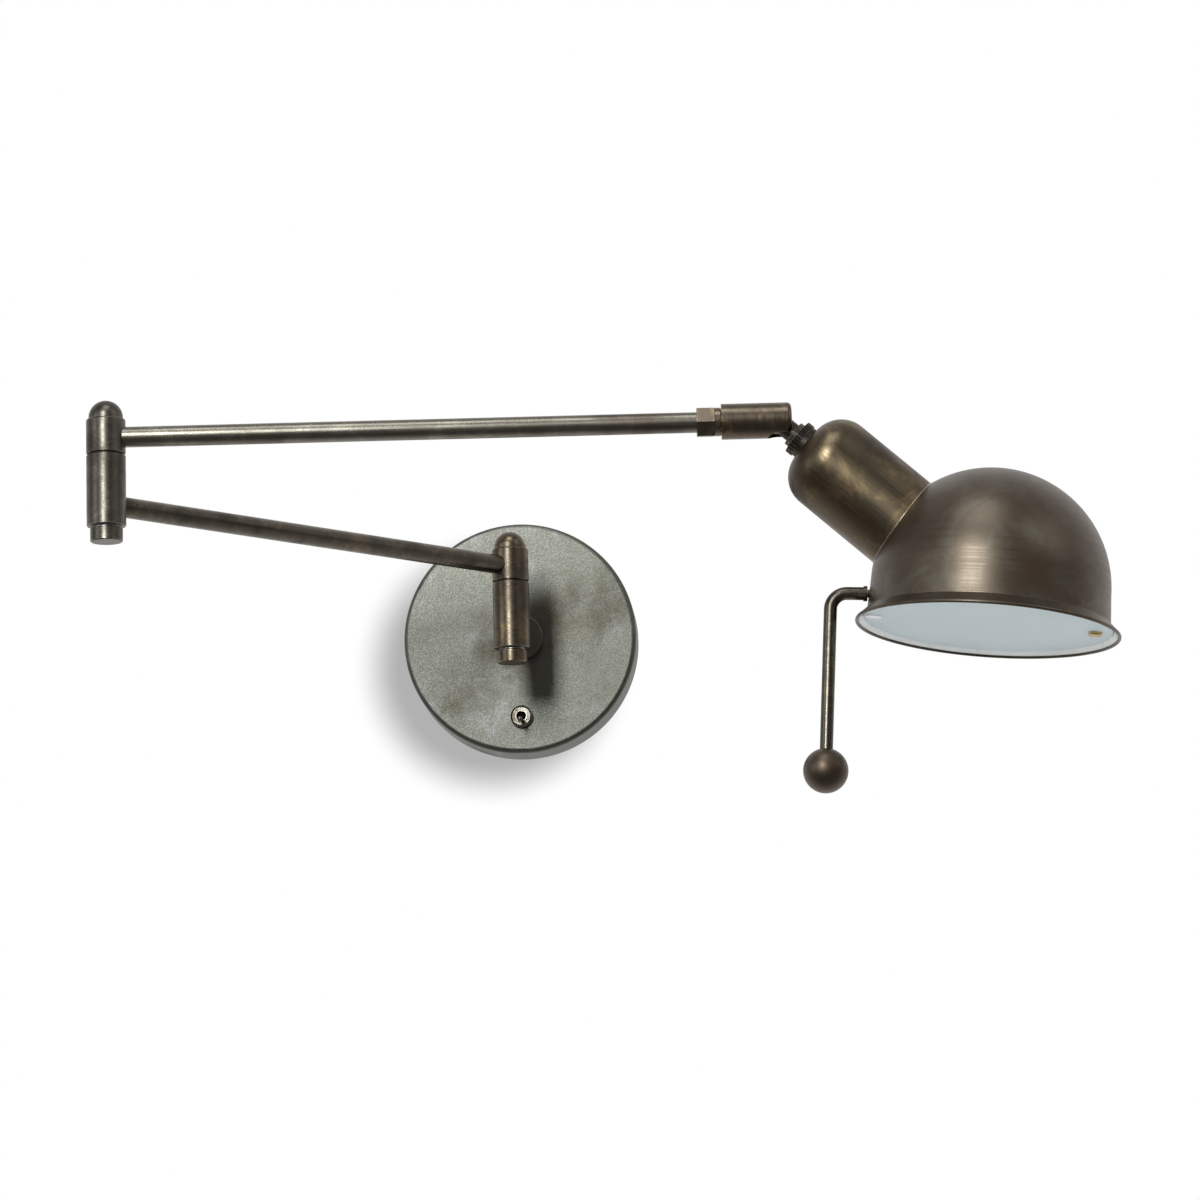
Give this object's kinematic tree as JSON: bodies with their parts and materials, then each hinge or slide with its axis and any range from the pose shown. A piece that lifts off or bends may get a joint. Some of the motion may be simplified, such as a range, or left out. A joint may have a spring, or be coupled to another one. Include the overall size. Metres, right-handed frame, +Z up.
{
  "type": "swing arm wall sconce",
  "caption": "Wall sconce with a round canopy and toggle switch, swinging tubular arms, a ball swivel, and a spun dome shade with an opal diffuser and a ball handle.",
  "frame": {"origin": "centre of the canopy's open back, on the wall, midway between the two wall screws", "axes": "+X to the right as seen from the room, +Y into the wall, +Z up"},
  "size_m": [0.4928, 0.3097, 0.2007],
  "materials": {
    "canopy_patina": "aged bronze patina, cloudy grey-green",
    "aged_brass": "antique brass, satin, dark brown patina",
    "dark_brass": "blackened brass",
    "zinc_steel": "zinc plated",
    "bright_brass": "bare brass",
    "black_phenolic": "moulded phenolic",
    "white_block": "moulded polyamide",
    "opal_diffuser": "opal acrylic, satin",
    "white_enamel": "white enamel",
    "bulb_glass": "frosted glass",
    "switch_nickel": "aged nickel",
    "cap_metal": "nickel plated cap"
  },
  "bodies": {
    "wall_mount": {"canopy": "canopy_patina", "mounting_strap": "zinc_steel", "canopy_grub_screws": "zinc_steel", "earth_screw": "bright_brass", "backing_plate": "zinc_steel", "post_lock_washer": "zinc_steel", "post_nut": "zinc_steel", "terminal_block": "white_block", "rosette": "aged_brass", "wall_post": "aged_brass", "switch_body": "black_phenolic", "switch_terminals": "switch_nickel", "switch_bushing": "switch_nickel", "switch_nut": "switch_nickel", "wall_fixed_knuckle": "aged_brass"},
    "switch_lever": {"switch_lever": "switch_nickel"},
    "lower_arm": {"wall_turning_knuckle": "aged_brass", "wall_finial": "aged_brass", "wall_pivot_sleeve": "bright_brass", "wall_thrust_washer": "bright_brass", "wall_spring_washer": "zinc_steel", "wall_pivot_cap": "aged_brass", "lower_arm_tube": "aged_brass", "elbow_fixed_knuckle": "aged_brass"},
    "upper_arm": {"elbow_turning_knuckle": "aged_brass", "elbow_finial": "aged_brass", "elbow_pivot_sleeve": "bright_brass", "elbow_thrust_washer": "bright_brass", "elbow_spring_washer": "zinc_steel", "elbow_pivot_cap": "aged_brass", "upper_arm_tube": "aged_brass", "arm_end_nut": "aged_brass", "swivel_collar": "aged_brass", "swivel_spindle": "bright_brass", "spindle_nut": "zinc_steel"},
    "swivel": {"swivel_barrel": "aged_brass", "swivel_plug": "aged_brass", "ball_seat": "bright_brass"},
    "neck": {"swivel_neck": "dark_brass", "neck_nut": "zinc_steel"},
    "head": {"lock_ring": "dark_brass", "cup_collar": "dark_brass", "socket_cup": "aged_brass", "shade_dome": "aged_brass", "diffuser": "opal_diffuser", "screw_lug": "zinc_steel", "diffuser_screw": "bright_brass", "diffuser_clip": "white_enamel", "holder_carrier": "zinc_steel", "lamp_holder": "black_phenolic", "holder_ring": "black_phenolic", "bulb_cap": "cap_metal", "bulb_glass": "bulb_glass", "handle_rod": "aged_brass", "handle_nut": "zinc_steel", "handle_collar": "aged_brass", "handle_ball": "aged_brass"}
  },
  "joints": [
    {"name": "wall_swing", "type": "hinge", "parent": "wall_mount", "child": "lower_arm", "pos_m": [0, -0.078, 0.02], "axis": [0, 0, 1], "range_deg": [-47.4, 132.6]},
    {"name": "elbow_swing", "type": "hinge", "parent": "lower_arm", "child": "upper_arm", "pos_m": [-0.1787, -0.27233, 0.053], "axis": [0, 0, -1], "range_deg": [-23.5, 296.5]},
    {"name": "swivel_turn", "type": "hinge", "parent": "upper_arm", "child": "swivel", "pos_m": [0.14455, -0.25029, 0.0615], "axis": [0.9977, 0.068, 0], "range_deg": [-165, 165]},
    {"name": "head_tilt", "type": "hinge", "parent": "swivel", "child": "neck", "pos_m": [0.14455, -0.25029, 0.0615], "axis": [-0.068, 0.9974, -0.0227], "range_deg": [-42, 48]},
    {"name": "head_turn", "type": "hinge", "parent": "neck", "child": "head", "pos_m": [0.14455, -0.25029, 0.0615], "axis": [0.7425, 0.0354, -0.669], "range_deg": [-150, 150]},
    {"name": "switch_toggle", "type": "hinge", "parent": "wall_mount", "child": "switch_lever", "pos_m": [0, -0.025, -0.0427], "axis": [-1, 0, 0], "range_deg": [0, 28]}
  ]
}
